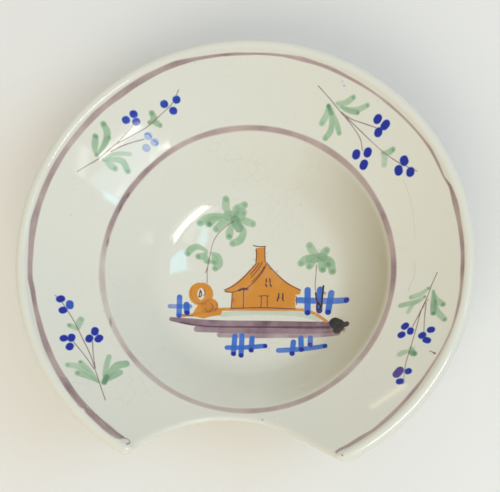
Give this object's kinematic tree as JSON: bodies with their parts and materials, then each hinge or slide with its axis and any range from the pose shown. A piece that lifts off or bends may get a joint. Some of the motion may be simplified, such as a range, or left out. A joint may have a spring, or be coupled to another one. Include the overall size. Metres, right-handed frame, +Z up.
{
  "type": "shaving basin",
  "caption": "Round glazed earthenware shaving basin with a deep well, a broad rising rim, a rolled lip, a foot ring and a curved neck notch.",
  "frame": {"origin": "centre of the foot ring, on the surface that the basin stands on", "axes": "+Z up out of the bowl, along the axis it was thrown on; the neck notch is on the -Y side; +X to the right when the notch is nearest"},
  "size_m": [0.28, 0.2642, 0.0789],
  "materials": {
    "glaze": "glossy cream tin glaze with painted decoration"
  },
  "bodies": {
    "root": {"basin": "glaze"}
  },
  "joints": []
}
